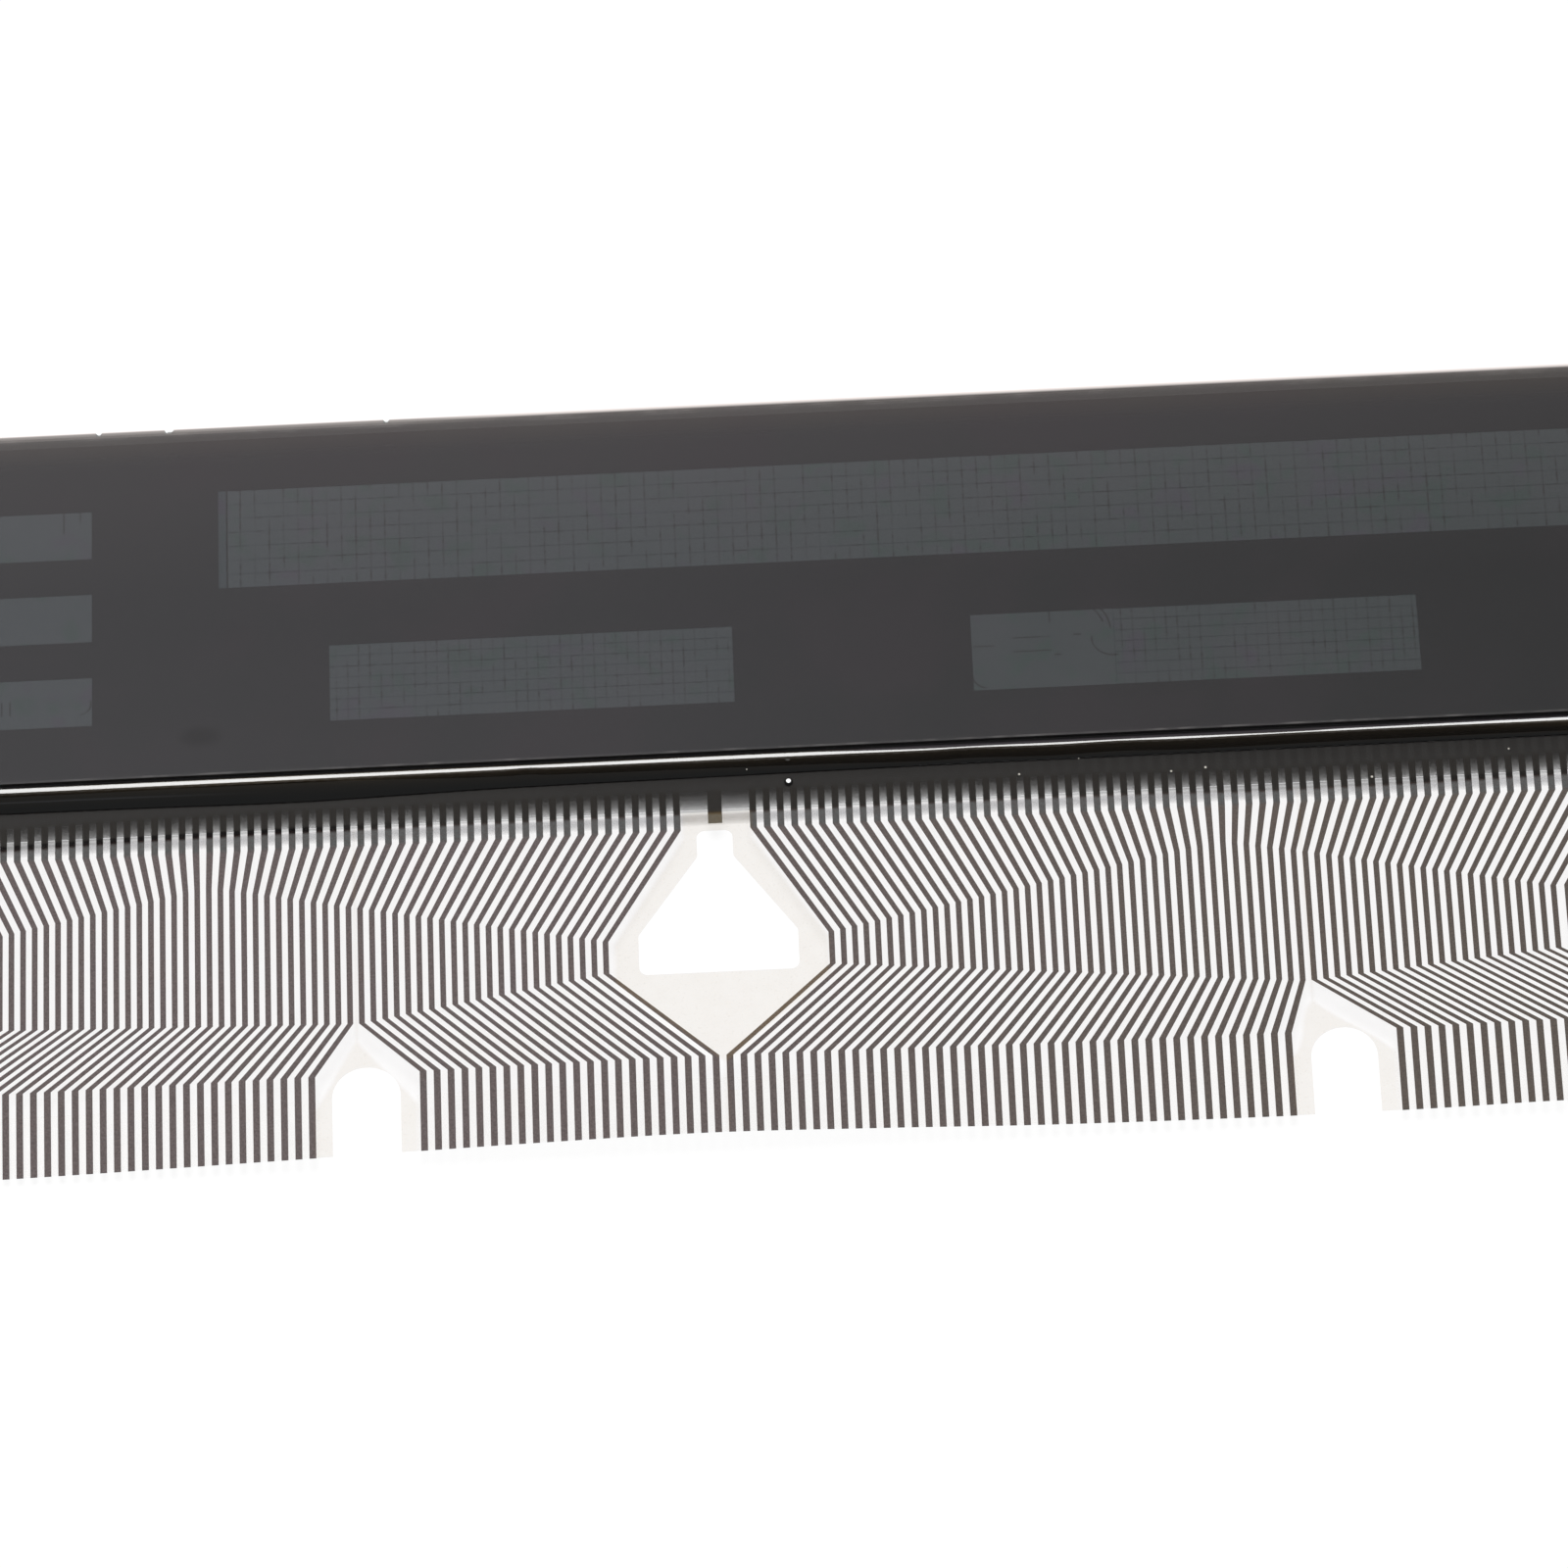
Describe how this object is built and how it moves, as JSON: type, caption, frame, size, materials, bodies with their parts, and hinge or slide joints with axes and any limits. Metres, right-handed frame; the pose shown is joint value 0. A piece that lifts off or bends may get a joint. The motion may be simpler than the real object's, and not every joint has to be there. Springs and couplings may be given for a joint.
{
  "type": "instrument cluster lcd",
  "caption": "Long dot matrix liquid crystal display for a vehicle instrument cluster, with a clear printed ribbon bonded along one glass ledge.",
  "frame": {"origin": "under the middle of the whole part, on the surface that the rear polariser rests on", "axes": "+X along the display's length, +Y away from the ribbon, +Z out of the viewing side"},
  "size_m": [0.1145, 0.0406, 0.0027],
  "materials": {
    "rear_polarizer_film": "dark polarising film, satin",
    "glass": "clear float glass",
    "clear_electrode": "clear conductive coating",
    "seal_epoxy": "cured epoxy",
    "plug_resin": "cured clear resin",
    "liquid_crystal": "thin dark fluid layer",
    "mask_ink": "matt black printed mask",
    "front_polarizer_film": "neutral grey film with a satin anti-glare face",
    "adhesive": "clear hot-melt adhesive",
    "trace_ink": "matt carbon ink",
    "clear_film": "clear polyester film, faintly hazy",
    "sealant": "glossy black resin"
  },
  "bodies": {
    "root": {"rear_polarizer": "rear_polarizer_film", "rear_glass": "glass", "contact_pads": "clear_electrode", "cell_seal": "seal_epoxy", "port_plug": "plug_resin", "liquid_crystal": "liquid_crystal", "top_columns": "clear_electrode", "top_rows": "clear_electrode", "lower_left_columns": "clear_electrode", "lower_left_rows": "clear_electrode", "lower_right_columns": "clear_electrode", "lower_right_rows": "clear_electrode", "lower_right_segments": "clear_electrode", "lower_right_common": "clear_electrode", "stacked_segments": "clear_electrode", "stacked_commons": "clear_electrode", "black_mask": "mask_ink", "front_glass": "glass", "front_polarizer": "front_polarizer_film", "ledge_adhesive": "adhesive", "left_outer_traces": "trace_ink", "left_inner_traces": "trace_ink", "right_inner_traces": "trace_ink", "right_outer_traces": "trace_ink", "alignment_mark": "trace_ink", "ribbon_film": "clear_film", "board_adhesive": "adhesive", "edge_sealant": "sealant"}
  },
  "joints": []
}
